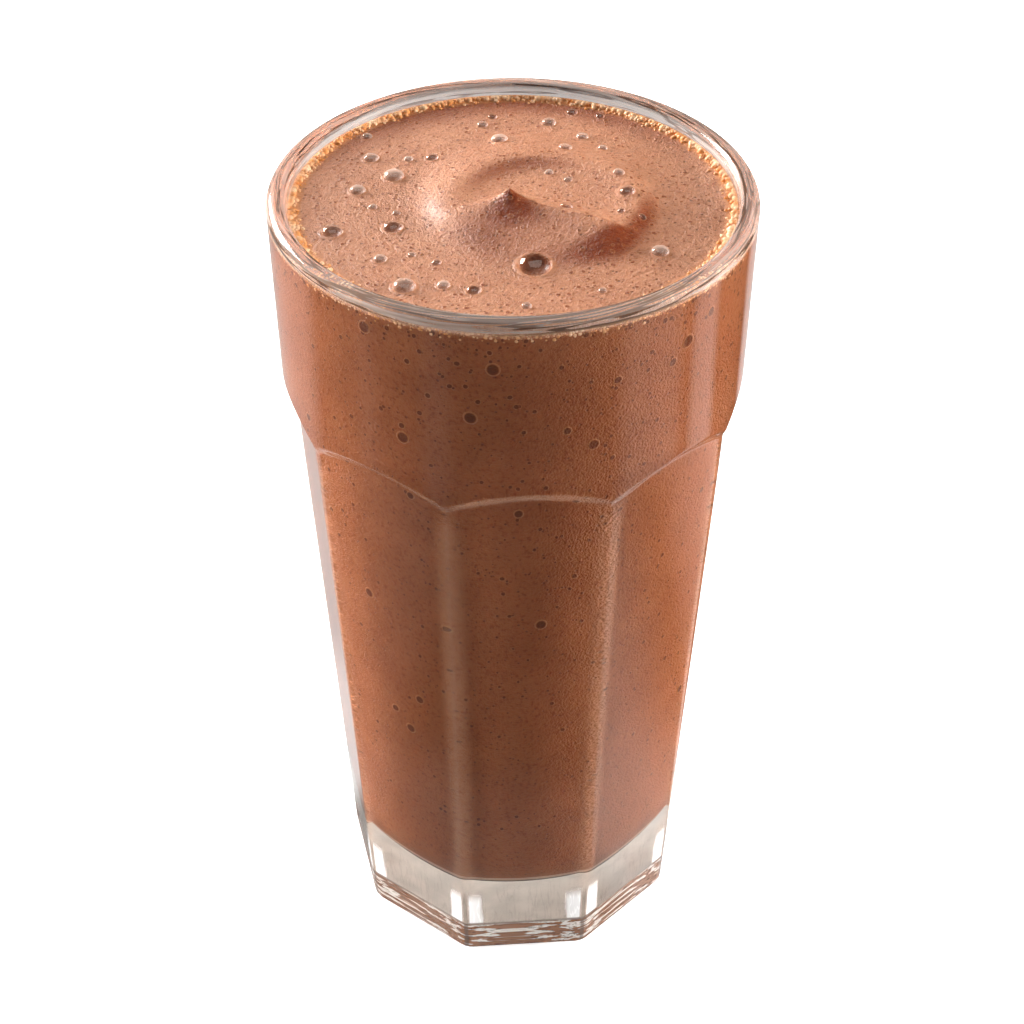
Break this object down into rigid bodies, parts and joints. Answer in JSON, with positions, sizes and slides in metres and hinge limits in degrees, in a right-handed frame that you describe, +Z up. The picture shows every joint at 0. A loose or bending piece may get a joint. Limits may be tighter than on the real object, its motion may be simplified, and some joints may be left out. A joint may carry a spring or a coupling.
{
  "type": "chocolate milkshake",
  "caption": "Tall faceted clear glass tumbler filled almost to the rim with a frothy chocolate milkshake whose top is folded into a swirl with a small peak.",
  "frame": {"origin": "centre of the footprint, on the surface the glass stands on", "axes": "+Z up along the glass's axis; the middle of one facet faces -Y"},
  "size_m": [0.082, 0.082, 0.1593],
  "materials": {
    "clear_glass": "clear, colourless, fire-polished pressed glass",
    "milkshake": "opaque frothy liquid with a soft satin sheen"
  },
  "bodies": {
    "root": {"glass": "clear_glass", "milkshake": "milkshake"}
  },
  "joints": []
}
